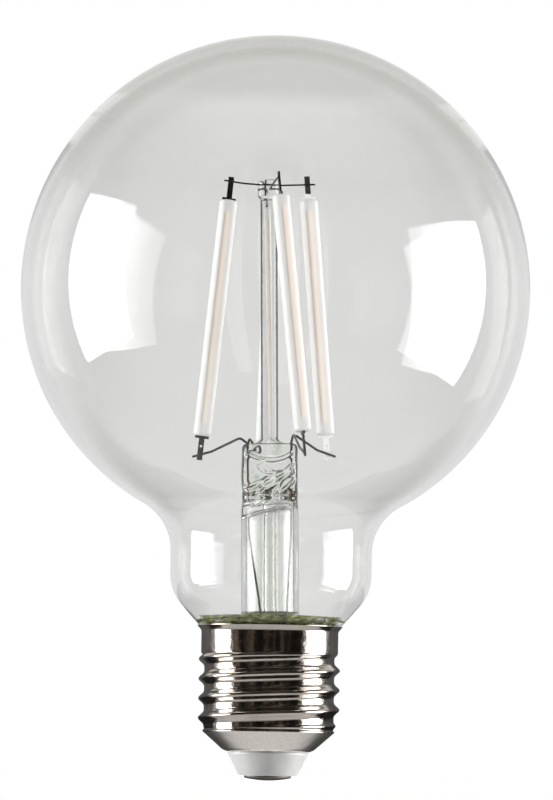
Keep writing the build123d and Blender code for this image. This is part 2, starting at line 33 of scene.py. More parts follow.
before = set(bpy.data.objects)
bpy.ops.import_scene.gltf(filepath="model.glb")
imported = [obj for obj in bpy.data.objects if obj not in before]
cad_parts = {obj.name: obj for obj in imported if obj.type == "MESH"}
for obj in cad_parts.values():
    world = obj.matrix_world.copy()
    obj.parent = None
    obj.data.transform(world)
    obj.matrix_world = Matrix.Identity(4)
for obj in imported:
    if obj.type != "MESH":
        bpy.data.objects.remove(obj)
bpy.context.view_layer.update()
MM = 0.001

# Glass envelope, in millimetres as all sizes below
GLASS_WALL = 0.95
CROWN_WALL = 1.6
CROWN_TURN = 45.0
LOWER_GLOBE_RADIUS = 46.0
NECK_RADIUS = 18.7
NECK_FILLET = 10.0
SHOULDER_RADIUS = 9.0
SHOULDER_ANGLE = 42.0
SEAT_CLEARANCE = 0.05
CEMENT_THICKNESS = 0.35
GLASS_SEGMENTS = 192
GLOBE_ROW = 1.2
NECK_ROW = 0.5

# Screw shell
SHELL_WALL = 0.25
LIP_RADIUS = 6.6
CONE_FOOT_RADIUS = 8.1
CONE_TOP_STEP = 0.25
CONE_HEIGHT = 3.7
CONE_FOOT_ROUND = 0.5
THREAD_MINOR_RADIUS = 12.05
THREAD_DEPTH = 1.05
THREAD_PITCH = 3.629
THREAD_HEIGHT = 14.4
THREAD_START = 0.55
THREAD_SHARPNESS = 2.0
RUN_OUT_ANGLE = 35.0
SKIRT_RADIUS = 12.7
ROLL_BLEND = 0.25
SHELL_SEGMENTS = 180
SHELL_ROW = 0.16

# Stem
STEM_LEAN = 1.1
SEAL_RISE = 0.65
FLANGE_THICKNESS = 1.3
FLANGE_ROUND = 1.2
FLANGE_FOOT_RADIUS = 13.2
FLANGE_FOOT_RISE = 0.3
FLANGE_TOP_RADIUS = 13.0
FLANGE_TOP_DROP = 0.2
TUBE_RADIUS = 5.35
TUBE_WALL = 1.0
TUBE_LENGTH = 20.5
PRESS_BLEND = 2.8
PRESS_HEIGHT = 8.7
PRESS_HALF_DEPTH = 2.3
PRESS_ROUND = 0.9
PRESS_SQUARENESS = 8
PRESS_FLAT_SHARE = 0.25
PRESS_TINT_DROP = 0.5
EXHAUST_RADIUS = 1.8
EXHAUST_DROP = 3.4
EXHAUST_TIP_ROUND = 1.2
EXHAUST_TOP_ROUND = 0.6
BORE_RADIUS = 0.85
BORE_POINT = 0.5
BORE_RISE = 1.0
BORE_TIP_RISE = 2.2
ROD_RADIUS = 1.6
ROD_LENGTH = 45.9
ROD_FILLET = 0.9
ROD_FILLET_SHARES = (0.25, 0.5, 0.75, 0.9, 1.0)
ROD_FILLET_POWER = 4
BUTTON_RADIUS = 2.1
BUTTON_HEIGHT = 3.8
BUTTON_TAPER = 0.7
BUTTON_ROUND = 0.8
HOLLOW_ROUND = 1.6
HOLLOW_SLANT = 0.25
HOLLOW_SLANT_FADE = 5.0
STEM_SEGMENTS = 160

# Lengths between the rows of the stem's mesh
PLAIN_ROW = 1.0
TUBE_ROW = 0.8
FLANGE_ROW = 0.2
ROUND_ROW = 0.15
PRESS_ROW = 0.14
BUTTON_ROW = 0.1

# Lumps in the pressed glass, which start below the tube's top and fade out about the press's top
LUMP_HEIGHT = 0.3
LUMP_SPAN = 4.2
LUMP_START_DROP = 1.0
LUMP_END_DROP = 0.5
LUMP_END_RISE = 1.5
PRESS_PINCH = 0.04
PINCH_PLACE = 9.0
LARGEST_DRAW = 0.7

# Folds in the pressed glass, seen from the front: places and levels from the press's foot, depth and width
FOLD_GAIN = 1.25
FOLD_POINTS = 24
FOLD_REACH = 3
FOLDS = [
    ((-4.4, 6.9), (0.2, 4.5), (3.8, 6.6), 0.75, 0.45),
    ((-1.4, 4.9), (1.6, 1.7), (4.2, 4.6), 0.6, 0.45),
    ((-4.9, -1.3), (-0.6, -0.4), (4.3, 3.4), 0.8, 0.42),
    ((-4.6, 0.6), (-1.0, 1.9), (2.2, 3.1), 0.6, 0.36),
    ((-3.6, -2.2), (1.4, -2.0), (4.6, 1.9), 0.65, 0.42),
    ((-4.8, -2.4), (-2.4, -2.5), (-1.0, 0.4), 0.6, 0.3),
    ((-4.2, -0.2), (-2.2, -0.4), (-0.6, 2.4), 0.5, 0.28),
    ((-0.9, -1.5), (1.4, -0.9), (2.2, 1.8), 0.55, 0.3),
    ((-1.8, 0.8), (0.6, 0.8), (1.6, 3.0), 0.5, 0.28),
    ((-2.2, 4.6), (-1.4, 3.0), (0.6, 3.2), 0.5, 0.3),
]

# Fused edge of the stem's flange
SEAL_HEIGHT = 1.9
SEAL_DEPTH = 0.9
SEAL_GAP = 0.06
SEAL_POINTS = 24
SEAL_MELT = 0.08
SEAL_MELT_REACH = 6

# Filament beads
FILAMENT_LENGTH = 53.6
BEAD_LENGTH = 44.6
BEAD_WIDTH = 3.2
BEAD_HEIGHT = 3.1
BEAD_ROUND = 1.2
BEAD_CORNER_POINTS = 8
BEAD_END = 1.5
BEAD_END_ROUND = 0.6
BEAD_END_ROW = 0.1
BEAD_PLAIN_END = 1.0
BEAD_ROW = 0.5
BEAD_WAVE = 0.015
BEAD_WAVE_RATE = 1.7
HEAD_RING_RADIUS = 7.4
HEAD_RISE = 0.3
FILAMENTS = {
    "left": {"head": 199.0, "foot": 197.0, "face": 197.0, "reach": 13.6, "lift": 0.0},
    "front": {"head": 284.0, "foot": 301.0, "face": 281.0, "reach": 12.6, "lift": 0.3},
    "right": {"head": 15.5, "foot": 18.5, "face": 18.5, "reach": 11.4, "lift": 0.75},
    "back": {"head": 82.0, "foot": 96.0, "face": 96.0, "reach": 12.2, "lift": 0.0},
}

# Levels and radii, from the frame and the sizes above
envelope_low, envelope_high = (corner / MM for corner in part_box("glass_envelope"))
shell_low, shell_high = (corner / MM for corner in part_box("cap_shell"))
globe_radius = envelope_high.x
crown_level = envelope_high.z
globe_level = crown_level - globe_radius
tail_end = envelope_low.z
shell_foot = shell_low.z
cap_top = shell_high.z
rim_radius = shell_high.x
thread_foot = shell_foot + CONE_HEIGHT
skirt_foot = thread_foot + THREAD_HEIGHT
shoulder_slope = tan(radians(SHOULDER_ANGLE))
seat_radius = rim_radius - SHELL_WALL / cos(radians(SHOULDER_ANGLE)) - SEAT_CLEARANCE
tail_radius = SKIRT_RADIUS - SHELL_WALL - CEMENT_THICKNESS
seal_level = cap_top + SEAL_RISE
tube_foot = seal_level + FLANGE_THICKNESS
tube_top = tube_foot + TUBE_LENGTH
press_foot = tube_top + PRESS_BLEND
press_top = press_foot + PRESS_HEIGHT
button_foot = press_top + ROD_LENGTH
button_top = button_foot + BUTTON_HEIGHT
hollow_radius = TUBE_RADIUS - TUBE_WALL
exhaust_tip = skirt_foot - EXHAUST_DROP

# The stem leans about the middle of its seal
seal_centre = Vector((0, 0, seal_level))
stem_lean = Matrix.Rotation(radians(-STEM_LEAN), 4, "Y")
stem_place = Matrix.Translation(seal_centre) @ stem_lean @ Matrix.Translation(-seal_centre)


# Mesh helpers
SAME_POINT = 1e-4
ON_AXIS = 1e-6


def steps(low, high, size):
    """Even steps from low to high."""
    count = max(2, round((high - low) / size))
    return [low + (high - low) * i / count for i in range(count + 1)]


def arc(centre, radius, start, end, step):
    """Points along an arc, with angles in degrees and a length between points."""
    count = max(3, round(radius * radians(abs(end - start)) / step))
    turns = [radians(start + (end - start) * i / count) for i in range(count + 1)]
    return [(centre[0] + radius * cos(turn), centre[1] + radius * sin(turn)) for turn in turns]


def joined(*runs):
    """Runs of outline points as one list, with no point twice."""
    points = []
    for run in runs:
        for point in run:
            if not points or hypot(point[0] - points[-1][0], point[1] - points[-1][1]) > SAME_POINT:
                points.append(point)
    return points


def ease(value, low, high):
    """A smooth step from 0 at low to 1 at high."""
    share = min(max((value - low) / (high - low), 0), 1)
    return share * share * (3 - 2 * share)


def soft_max(a, b, blend):
    """The larger of two values, rounded where they cross."""
    share = min(max(0.5 + (a - b) / (2 * blend), 0), 1)
    return b + (a - b) * share + blend * share * (1 - share)


def soft_min(a, b, blend):
    """The smaller of two values, rounded where they cross."""
    return -soft_max(-a, -b, blend)


def skin(name, rings, closed=False):
    """A smooth mesh object through rings of points, with a ring of one point as a pole."""
    vertices = []
    starts = []
    for ring in rings:
        starts.append(len(vertices))
        vertices.extend(Vector(point) * MM for point in ring)
    faces = []
    pairs = list(zip(range(len(rings)), range(1, len(rings))))
    if closed:
        pairs.append((len(rings) - 1, 0))
    for low, high in pairs:
        count = max(len(rings[low]), len(rings[high]))
        for i in range(count if count > 2 else 1):
            j = (i + 1) % count
            corners = [starts[low] + i, starts[low] + j, starts[high] + j, starts[high] + i]
            if len(rings[low]) == 1:
                corners = [starts[low], starts[high] + j, starts[high] + i]
            if len(rings[high]) == 1:
                corners = [starts[low] + i, starts[low] + j, starts[high]]
            faces.append(corners)
    mesh = bpy.data.meshes.new(name)
    mesh.from_pydata(vertices, [], faces)
    mesh.polygons.foreach_set("use_smooth", [True] * len(mesh.polygons))
    mesh.update()
    piece = bpy.data.objects.new(name, mesh)
    bpy.context.scene.collection.objects.link(piece)
    return piece


def circle(radius, level, segments):
    """A level ring about the axis, or a single point on it."""
    if radius < ON_AXIS:
        return [(0, 0, level)]
    turns = [2 * pi * i / segments for i in range(segments)]
    return [(radius * cos(turn), radius * sin(turn), level) for turn in turns]


def lathe(name, outline, segments):
    """A turned mesh from an outline of radii and levels."""
    return skin(name, [circle(radius, level, segments) for radius, level in outline])


def stands_for(piece, slot, *nodes):
    """The piece rides with the lamp and replaces the CAD nodes; the slot is not used."""
    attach(piece, "root")
    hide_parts(*nodes)


# Material helpers, with the places of a mix node's two inputs and its result
PATCH_DARK = 0.3
PATCH_LIGHT = 0.7
MIX_SOCKETS = {"FLOAT": (2, 3, 0), "RGBA": (6, 7, 2)}


def new_material(name):
    """An empty node material, with its tree and its output."""
    material = bpy.data.materials.new(name)
    material.use_nodes = True
    tree = material.node_tree
    tree.nodes.clear()
    output = add(tree, "OutputMaterial")
    return material, tree, output


def add(tree, kind, **values):
    """A shader node of a kind, with plain values set on its own properties or sockets."""
    node = tree.nodes.new(f"ShaderNode{kind}")
    for key, value in values.items():
        socket = key.replace("_", " ")
        if socket in node.inputs:
            node.inputs[socket].default_value = value
        else:
            setattr(node, key, value)
    return node


def principled(tree, **values):
    """A principled shader with plain values."""
    return add(tree, "BsdfPrincipled", **values)


def feed(tree, item, socket):
    """Gives a socket another socket's value, a plain colour or a number."""
    if isinstance(item, bpy.types.NodeSocket):
        tree.links.new(item, socket)
    elif isinstance(item, tuple):
        socket.default_value = (*item, 1)
    else:
        socket.default_value = item


def show(tree, output, shader, **fields):
    """Links fields to a shader's sockets and makes the shader the surface."""
    for key, field in fields.items():
        tree.links.new(field, shader.inputs[key.replace("_", " ")])
    tree.links.new(shader.outputs[0], output.inputs["Surface"])


def either(tree, factor, first, second):
    """A shader that turns from one shader to another."""
    mix = add(tree, "MixShader")
    tree.links.new(factor, mix.inputs["Fac"])
    tree.links.new(first.outputs[0], mix.inputs[1])
    tree.links.new(second.outputs[0], mix.inputs[2])
    return mix


def own_axes(tree):
    """The object's own coordinates."""
    place = add(tree, "TexCoord")
    split = add(tree, "SeparateXYZ")
    tree.links.new(place.outputs["Object"], split.inputs["Vector"])
    return split.outputs


def noise_field(tree, span, detail, stretch=(1, 1, 1), roughness=0.5):
    """Noise over the object's own coordinates, its features being about a span across."""
    place = add(tree, "TexCoord")
    mapping = add(tree, "Mapping", Scale=stretch)
    field = add(tree, "TexNoise", Scale=1 / (span * MM), Detail=detail, Roughness=roughness)
    tree.links.new(place.outputs["Object"], mapping.inputs["Vector"])
    tree.links.new(mapping.outputs["Vector"], field.inputs["Vector"])
    return field.outputs["Fac"]


def ramp(tree, value, stops):
    """A colour ramp over a value, its stops being positions and colours."""
    node = add(tree, "ValToRGB")
    elements = node.color_ramp.elements
    while len(elements) < len(stops):
        elements.new(0.5)
    for element, (position, colour) in zip(elements, stops):
        element.position = position
        element.color = (*colour, 1)
    tree.links.new(value, node.inputs["Fac"])
    return node.outputs["Color"]


def patched(tree, field, dark, light):
    """Dark and light patches where a noise field is low and high."""
    return ramp(tree, field, [(PATCH_DARK, dark), (PATCH_LIGHT, light)])


def mapped(tree, value, **limits):
    """A value mapped between ranges, each 0 to 1 unless its limits are given."""
    node = add(tree, "MapRange", **limits)
    tree.links.new(value, node.inputs["Value"])
    return node.outputs["Result"]


def spread(tree, value, low, high):
    """A value in 0 to 1 mapped to a range."""
    return mapped(tree, value, To_Min=low, To_Max=high)


def smooth_step(tree, value, low, high):
    """A smooth step from 0 at low to 1 at high."""
    return mapped(tree, value, interpolation_type="SMOOTHSTEP", From_Min=low, From_Max=high)


def level_field(tree, low, high):
    """0 to 1 between two levels on the lamp's axis."""
    return mapped(tree, own_axes(tree)["Z"], From_Min=low * MM, From_Max=high * MM)


def slant_field(tree, low, high):
    """A smooth step as a surface turns from facing the viewer to lying edge on."""
    weight = add(tree, "LayerWeight", Blend=0.5)
    return smooth_step(tree, weight.outputs["Facing"], low, high)


def bump(tree, height, distance):
    """The normal of a surface whose relief follows a field."""
    node = add(tree, "Bump", Strength=1.0, Distance=distance * MM)
    tree.links.new(height, node.inputs["Height"])
    return node.outputs["Normal"]


def mixed(tree, factor, first, second, kind="RGBA"):
    """A blend of two colours or of two values, each a socket or plain."""
    node = add(tree, "Mix", data_type=kind)
    low, high, result = MIX_SOCKETS[kind]
    tree.links.new(factor, node.inputs["Factor"])
    feed(tree, first, node.inputs[low])
    feed(tree, second, node.inputs[high])
    return node.outputs[result]


def combined(tree, operation, first, second=0.0):
    """Two values put together by a math operation, the second being a socket or a number."""
    node = add(tree, "Math", operation=operation)
    tree.links.new(first, node.inputs[0])
    feed(tree, second, node.inputs[1])
    return node.outputs["Value"]


# Glass: the share of light that the envelope passes goes by level, as painted shade in darker and lighter
# bands, and ripples have a span and a height
GLASS_IOR = 1.5
# Painted shade: the share of light each wall passes, darker and lighter in bands by level
GLASS_SHADE_BY_LEVEL = [
    (30.0, 0.885),
    (42.0, 0.91),
    (50.0, 0.9),
    (60.0, 0.89),
    (72.0, 0.87),
    (92.0, 0.91),
    (110.0, 0.87),
    (117.0, 0.845),
    (124.0, 0.89),
    (131.0, 0.97),
    (134.0, 0.87),
]
GLASS_HUE = (1.0, 1.002, 0.995)
# Painted shade: olive grey darkens the crown's edge where it is seen at a slant near the top
CROWN_SHADE = (0.45, 0.45, 0.38)
CROWN_SHADE_SLANT = (0.5, 0.86)
CROWN_SHADE_HEIGHT = (0.66, 0.94)
ENVELOPE_RIPPLE = (24.0, 0.02)
ENVELOPE_SHADE = (0.98, 0.98, 0.975)
STREAK_SPAN = 2.2
STREAK_BAND = (0.5, 0.75)
STEM_SHADE = (0.97, 0.97, 0.965)

# The stem's glass: clear and tinted colours, the colour of the painted shade seen at a slant, the band of
# slants that the painted shade darkens, and the ripples
STEM_GLASSES = {
    "stem_glass": (
        (0.985, 0.99, 0.98), (0.96, 0.98, 0.95), (0.015, 0.017, 0.015), (0.74, 0.9), (7.0, 0.02)
    ),
    "press_glass": (
        (0.98, 0.99, 0.97), (0.5, 0.64, 0.46), (0.012, 0.015, 0.011), (0.2, 0.48), (3.0, 0.05)
    ),
    "rod_glass": (
        (0.86, 0.87, 0.86), (0.83, 0.845, 0.83), (0.015, 0.016, 0.015), (0.2, 0.46), (9.0, 0.02)
    ),
}

# The seal's streaks, from dark to pale
SEAL_STREAKS = [
    (0.37, (0.01, 0.012, 0.004)),
    (0.46, (0.1, 0.11, 0.02)),
    (0.6, (0.23, 0.25, 0.06)),
    (0.74, (0.76, 0.78, 0.56)),
]
SEAL_STREAK_SPAN = 1.6
SEAL_STREAK_STRETCH = (1, 1, 2.6)
SEAL_STREAK_ROUGHNESS = 0.65
SEAL_RELIEF = 0.35
SEAL_ROUGHNESS = 0.18
SEAL_SPECULAR = 0.6


def finish_glass(tree, output, colour, ripple, shade):
    """Clear glass of a colour, with faint ripples, that lets the lamps' light through to what it holds."""
    ripple_span, ripple_height = ripple
    body = principled(tree, Roughness=0.0, IOR=GLASS_IOR, Transmission_Weight=1.0)
    waves = noise_field(tree, ripple_span, detail=1.0)
    tree.links.new(colour, body.inputs["Base Color"])
    tree.links.new(bump(tree, waves, ripple_height), body.inputs["Normal"])
    through = add(tree, "BsdfTransparent", Color=(*shade, 1))
    path = add(tree, "LightPath")
    lit = combined(tree, "MAXIMUM", path.outputs["Is Shadow Ray"], path.outputs["Is Diffuse Ray"])
    show(tree, output, either(tree, lit, body, through))


def envelope_finish():
    """Blown glass with painted shade: it passes more or less light by level, and it is olive grey along the
    crown's edge.
    """
    material, tree, output = new_material("envelope_glass")
    height = level_field(tree, 0, crown_level)
    stops = []
    for level, shaded_clarity in GLASS_SHADE_BY_LEVEL:
        stops.append((level / crown_level, tuple(shaded_clarity * share for share in GLASS_HUE)))
    edge = slant_field(tree, *CROWN_SHADE_SLANT)
    edge = combined(tree, "MULTIPLY", edge, smooth_step(tree, height, *CROWN_SHADE_HEIGHT))
    tint = mixed(tree, edge, ramp(tree, height, stops), CROWN_SHADE)
    finish_glass(tree, output, tint, ENVELOPE_RIPPLE, ENVELOPE_SHADE)
    return material


def stem_finish(name, clear, tinted, slant_shade, slant_band, ripple):
    """Drawn glass, tinted in streaks, with painted shade darkening it where it is seen at a slant."""
    material, tree, output = new_material(name)
    streaks = smooth_step(tree, noise_field(tree, STREAK_SPAN, detail=2.0), *STREAK_BAND)
    slant = slant_field(tree, *slant_band)
    colour = mixed(tree, slant, mixed(tree, streaks, clear, tinted), slant_shade)
    finish_glass(tree, output, colour, ripple, STEM_SHADE)
    return material


def seal_finish():
    """The fused edge of the stem: olive glass with dark and pale streaks round it."""
    material, tree, output = new_material("seal_glass")
    body = principled(tree, Roughness=SEAL_ROUGHNESS, IOR=GLASS_IOR, Specular_IOR_Level=SEAL_SPECULAR)
    streaks = noise_field(tree, SEAL_STREAK_SPAN, 4.0, SEAL_STREAK_STRETCH, SEAL_STREAK_ROUGHNESS)
    relief = bump(tree, streaks, SEAL_RELIEF)
    show(tree, output, body, Base_Color=ramp(tree, streaks, SEAL_STREAKS), Normal=relief)
    return material


# Nickel of the screw shell, with its dents and fine grain
NICKEL_DARK = (0.5, 0.455, 0.415)
NICKEL_LIGHT = (0.64, 0.59, 0.54)
NICKEL_PATCH = 5.0
NICKEL_GRAIN = 0.35
NICKEL_ROUGHNESS = (0.04, 0.22)
NICKEL_DENT = 2.5
NICKEL_RELIEF = 0.08
GRAIN_RELIEF_SHARE = 0.16
SATIN_DARK = (0.76, 0.71, 0.66)
SATIN_LIGHT = (0.9, 0.85, 0.8)
SATIN_ROUGHNESS = 0.32
CONE_FADE = 0.2

# Other metals: dark and light colours, range of roughness, span of the patches, depth and span of the dents
METALS = {
    "contact_nickel": ((0.17, 0.16, 0.14), (0.25, 0.235, 0.205), (0.5, 0.65), 1.6, 0.03, 0.8),
    "tab_metal": ((0.02, 0.016, 0.013), (0.1, 0.085, 0.07), (0.25, 0.45), 0.9, 0.02, 0.6),
    "anchor_wire": ((0.02, 0.017, 0.015), (0.12, 0.1, 0.08), (0.2, 0.4), 0.8),
    "lead_wire": ((0.015, 0.013, 0.011), (0.1, 0.085, 0.07), (0.2, 0.4), 0.8),
    "seal_copper": ((0.04, 0.012, 0.008), (0.13, 0.045, 0.03), (0.3, 0.5), 0.7),
    "outer_copper": ((0.03, 0.026, 0.022), (0.14, 0.115, 0.09), (0.25, 0.4), 0.8),
}

# The right filament's tabs, painted white as a highlight: the lower one all over, the upper one only below
# a level
TAB_PATCH = 0.9
PAINTED_HIGHLIGHT_TAB = ((0.92, 0.92, 0.91), (0.97, 0.97, 0.96))
DARK_TAB = ((0.012, 0.01, 0.008), (0.06, 0.05, 0.042))
TAB_ROUGHNESS = 0.35
PAINTED_HIGHLIGHT_DROP = 2.25
PAINTED_HIGHLIGHT_FADE = 0.1

# Pigmented surfaces: dark and light colours, roughness, span and height of the grain, gloss and sheen
PIGMENTS = {
    "insulator_white": ((0.295, 0.295, 0.293), (0.335, 0.335, 0.332), 0.45, 3.0, 0.02, 1.0, 1.0),
    # The right foot tab's white is a painted highlight
    "tab_painted_highlight": (*PAINTED_HIGHLIGHT_TAB, 0.3, TAB_PATCH, 0.01),
    "cement": ((0.3, 0.28, 0.2), (0.45, 0.42, 0.3), 0.8, 0.7, 0.05),
    "board": ((0.03, 0.12, 0.06), (0.05, 0.18, 0.09), 0.4, 2.0, 0.01),
    "package_black": ((0.015, 0.015, 0.016), (0.03, 0.03, 0.032), 0.5, 0.6, 0.01),
    "capacitor_sleeve": ((0.02, 0.02, 0.05), (0.04, 0.04, 0.08), 0.35, 2.0, 0.01),
    "fuse_body": ((0.2, 0.3, 0.16), (0.3, 0.42, 0.24), 0.5, 1.0, 0.01),
    "hookup_wire": ((0.55, 0.08, 0.05), (0.7, 0.12, 0.08), 0.45, 1.5, 0.01),
}
PIGMENT_ROUGHNESS_SPREAD = 0.06
SHEEN_ROUGHNESS = 0.4
COAT_ROUGHNESS = 0.45


def nickel_finish():
    """Rolled nickel: bright and finely grained, and satin on the cone below the thread."""
    material, tree, output = new_material("cap_nickel")
    body = principled(tree, Metallic=1.0)
    grain = noise_field(tree, NICKEL_GRAIN, detail=2.0)
    bright = patched(tree, noise_field(tree, NICKEL_PATCH, detail=4.0), NICKEL_DARK, NICKEL_LIGHT)
    satin = patched(tree, grain, SATIN_DARK, SATIN_LIGHT)
    cone = level_field(tree, thread_foot + CONE_FADE, thread_foot - CONE_FADE)
    gloss = spread(tree, grain, *NICKEL_ROUGHNESS)
    rough = combined(tree, "MAXIMUM", gloss, combined(tree, "MULTIPLY", cone, SATIN_ROUGHNESS))
    fine = combined(tree, "MULTIPLY", grain, GRAIN_RELIEF_SHARE)
    dents = combined(tree, "ADD", noise_field(tree, NICKEL_DENT, detail=2.0), fine)
    colour = mixed(tree, cone, bright, satin)
    show(tree, output, body, Base_Color=colour, Roughness=rough, Normal=bump(tree, dents, NICKEL_RELIEF))
    return material


def metal(name, dark, light, roughness, patch, dent=0.0, dent_span=1.0):
    """Bare metal whose colour and gloss vary in patches, with shallow dents where it has any."""
    material, tree, output = new_material(name)
    body = principled(tree, Metallic=1.0)
    patches = noise_field(tree, patch, detail=4.0)
    if dent:
        dents = noise_field(tree, dent_span, detail=2.0)
        tree.links.new(bump(tree, dents, dent), body.inputs["Normal"])
    colour = patched(tree, patches, dark, light)
    show(tree, output, body, Base_Color=colour, Roughness=spread(tree, patches, *roughness))
    return material


def matt(name, dark, light, roughness, grain, relief, specular=0.5, sheen=0.0):
    """A pigmented surface, mottled in colour and finely uneven, glazed where it has a sheen."""
    material, tree, output = new_material(name)
    body = principled(tree, Specular_IOR_Level=specular)
    for layer, layer_roughness in (("Sheen", SHEEN_ROUGHNESS), ("Coat", COAT_ROUGHNESS)):
        body.inputs[f"{layer} Weight"].default_value = sheen
        body.inputs[f"{layer} Roughness"].default_value = layer_roughness
    patches = noise_field(tree, grain, detail=4.0)
    lowest, highest = roughness - PIGMENT_ROUGHNESS_SPREAD, roughness + PIGMENT_ROUGHNESS_SPREAD
    rough = spread(tree, patches, lowest, highest)
    colour = patched(tree, patches, dark, light)
    show(tree, output, body, Base_Color=colour, Roughness=rough, Normal=bump(tree, patches, relief))
    return material


def painted_highlight_tab_finish():
    """A tab with a painted white highlight on its lower part, and dark on its upper part."""
    material, tree, output = new_material("tab_with_painted_highlight_below")
    body = principled(tree, Roughness=TAB_ROUGHNESS)
    patches = noise_field(tree, TAB_PATCH, detail=4.0)
    level = button_top - PAINTED_HIGHLIGHT_DROP
    lower = level_field(tree, level + PAINTED_HIGHLIGHT_FADE, level - PAINTED_HIGHLIGHT_FADE)
    colour = mixed(tree, lower, mixed(tree, patches, *DARK_TAB), mixed(tree, patches, *PAINTED_HIGHLIGHT_TAB))
    show(tree, output, body, Base_Color=colour)
    return material


# Beads: the stripe's colours from left to right, with a dark painted shade along its left edge and a
# lighter painted shade towards its right, and how each bead's own axis runs across its stripe
SILICONE_WHITE = (0.78, 0.776, 0.77)
SILICONE_ROUGHNESS = 0.38
SILICONE_SPECULAR = 0.45
STRIPE_REACH = 1.2
STRIPE_AND_SHADE_COLOURS = [
    (-0.8, SILICONE_WHITE),
    # Painted shade: a dark line along the stripe's left edge
    (-0.52, (0.62, 0.545, 0.495)),
    (-0.3, (0.92, 0.82, 0.74)),
    (0.15, (0.98, 0.89, 0.81)),
    (0.55, (0.9, 0.81, 0.745)),
    (0.88, SILICONE_WHITE),
]
STRIPE_WANDER = 0.1
STRIPE_END_FADE = 1.6
STRIPES = {
    "left": ("X", -1, -0.3),
    "front": ("Y", 1, 0.2),
    "right": ("X", 1, -0.5),
    "back": ("Y", -1, 0.0),
}
BEAD_GRAIN = 1.4
BEAD_GRAIN_STRETCH = (1, 1, 0.4)
BEAD_RELIEF = 0.04


def phosphor_finish(name, axis, direction, offset):
    """White silicone with a warm phosphor stripe, with painted shade along the stripe's left and a little
    towards its right, that fades out at the ends.
    """
    material, tree, output = new_material(name)
    body = principled(tree, Roughness=SILICONE_ROUGHNESS, Specular_IOR_Level=SILICONE_SPECULAR)
    own = own_axes(tree)
    grain = noise_field(tree, BEAD_GRAIN, detail=3.0, stretch=BEAD_GRAIN_STRETCH)
    across = combined(tree, "MULTIPLY", own[axis], direction / MM)
    across = combined(tree, "SUBTRACT", across, offset)
    across = combined(tree, "ADD", across, spread(tree, grain, -STRIPE_WANDER, STRIPE_WANDER))
    share = combined(tree, "DIVIDE", combined(tree, "ADD", across, STRIPE_REACH), 2 * STRIPE_REACH)
    stops = [((at + STRIPE_REACH) / (2 * STRIPE_REACH), colour) for at, colour in STRIPE_AND_SHADE_COLOURS]
    stripe_end = BEAD_LENGTH / 2 - BEAD_END
    end = combined(tree, "ABSOLUTE", own["Z"])
    tip = smooth_step(tree, end, (stripe_end - STRIPE_END_FADE) * MM, stripe_end * MM)
    colour = mixed(tree, tip, ramp(tree, share, stops), SILICONE_WHITE)
    show(tree, output, body, Base_Color=colour, Normal=bump(tree, grain, BEAD_RELIEF))
    return material


# Envelope


def envelope_outline(inset, crown_inset):
    """The glass from the crown down to the tail, drawn in by the wall for the inside."""
    lower_offset = globe_radius - LOWER_GLOBE_RADIUS
    fillet_axis = NECK_RADIUS + NECK_FILLET
    fall = sqrt((LOWER_GLOBE_RADIUS + NECK_FILLET) ** 2 - (fillet_axis - lower_offset) ** 2)
    turn = degrees(atan2(fall, fillet_axis - lower_offset))
    crown_rise = tan(radians(CROWN_TURN))
    crown_reach = 1 / cos(radians(CROWN_TURN))
    offset = (crown_inset - inset) / (1 + crown_rise - crown_reach)
    dome_radius = globe_radius - inset - offset
    crown_radius = dome_radius + offset * crown_reach
    bend_axis = NECK_RADIUS - SHOULDER_RADIUS
    cone_radius = bend_axis + SHOULDER_RADIUS * cos(radians(SHOULDER_ANGLE))
    cone_level = cap_top + (cone_radius - seat_radius) / shoulder_slope
    bend_level = cone_level + SHOULDER_RADIUS * sin(radians(SHOULDER_ANGLE))
    tail = tail_radius - inset
    points = joined(
        arc((0, globe_level - offset * crown_rise), crown_radius, 90, CROWN_TURN, GLOBE_ROW),
        arc((offset, globe_level), dome_radius, CROWN_TURN, 0, GLOBE_ROW),
        arc((lower_offset, globe_level), LOWER_GLOBE_RADIUS - inset, 0, -turn, GLOBE_ROW),
        arc((fillet_axis, globe_level - fall), NECK_FILLET + inset, 180 - turn, 180, NECK_ROW),
        arc((bend_axis, bend_level), SHOULDER_RADIUS - inset, 0, -SHOULDER_ANGLE, NECK_ROW),
    )
    foot = points[-1]
    tail_level = foot[1] - (foot[0] - tail) / shoulder_slope
    points[0] = (0, points[0][1])
    return points + [(tail, tail_level), (tail, tail_end)]


def make_envelope():
    """The blown glass, its outside and inside in one skin."""
    outside = envelope_outline(0, 0)
    inside = envelope_outline(GLASS_WALL, CROWN_WALL)
    piece = lathe("blown_envelope", outside + inside[::-1], GLASS_SEGMENTS)
    piece.data.materials.append(envelope_finish())
    piece.data.flip_normals()
    stands_for(piece, "envelope_glass", "glass_envelope")


# Screw shell


def thread_radius(turn, level):
    """The rolled thread's outside, fading out at both ends."""
    crest = turn - 2 * pi * (level - thread_foot - THREAD_START) / THREAD_PITCH
    radius = THREAD_MINOR_RADIUS + THREAD_DEPTH * ((1 + cos(crest)) / 2) ** THREAD_SHARPNESS
    slope = tan(radians(RUN_OUT_ANGLE))
    low = THREAD_MINOR_RADIUS + (level - thread_foot - THREAD_START) * slope
    high = SKIRT_RADIUS + (skirt_foot - level) * slope
    return soft_min(soft_min(radius, low, ROLL_BLEND), high, ROLL_BLEND)


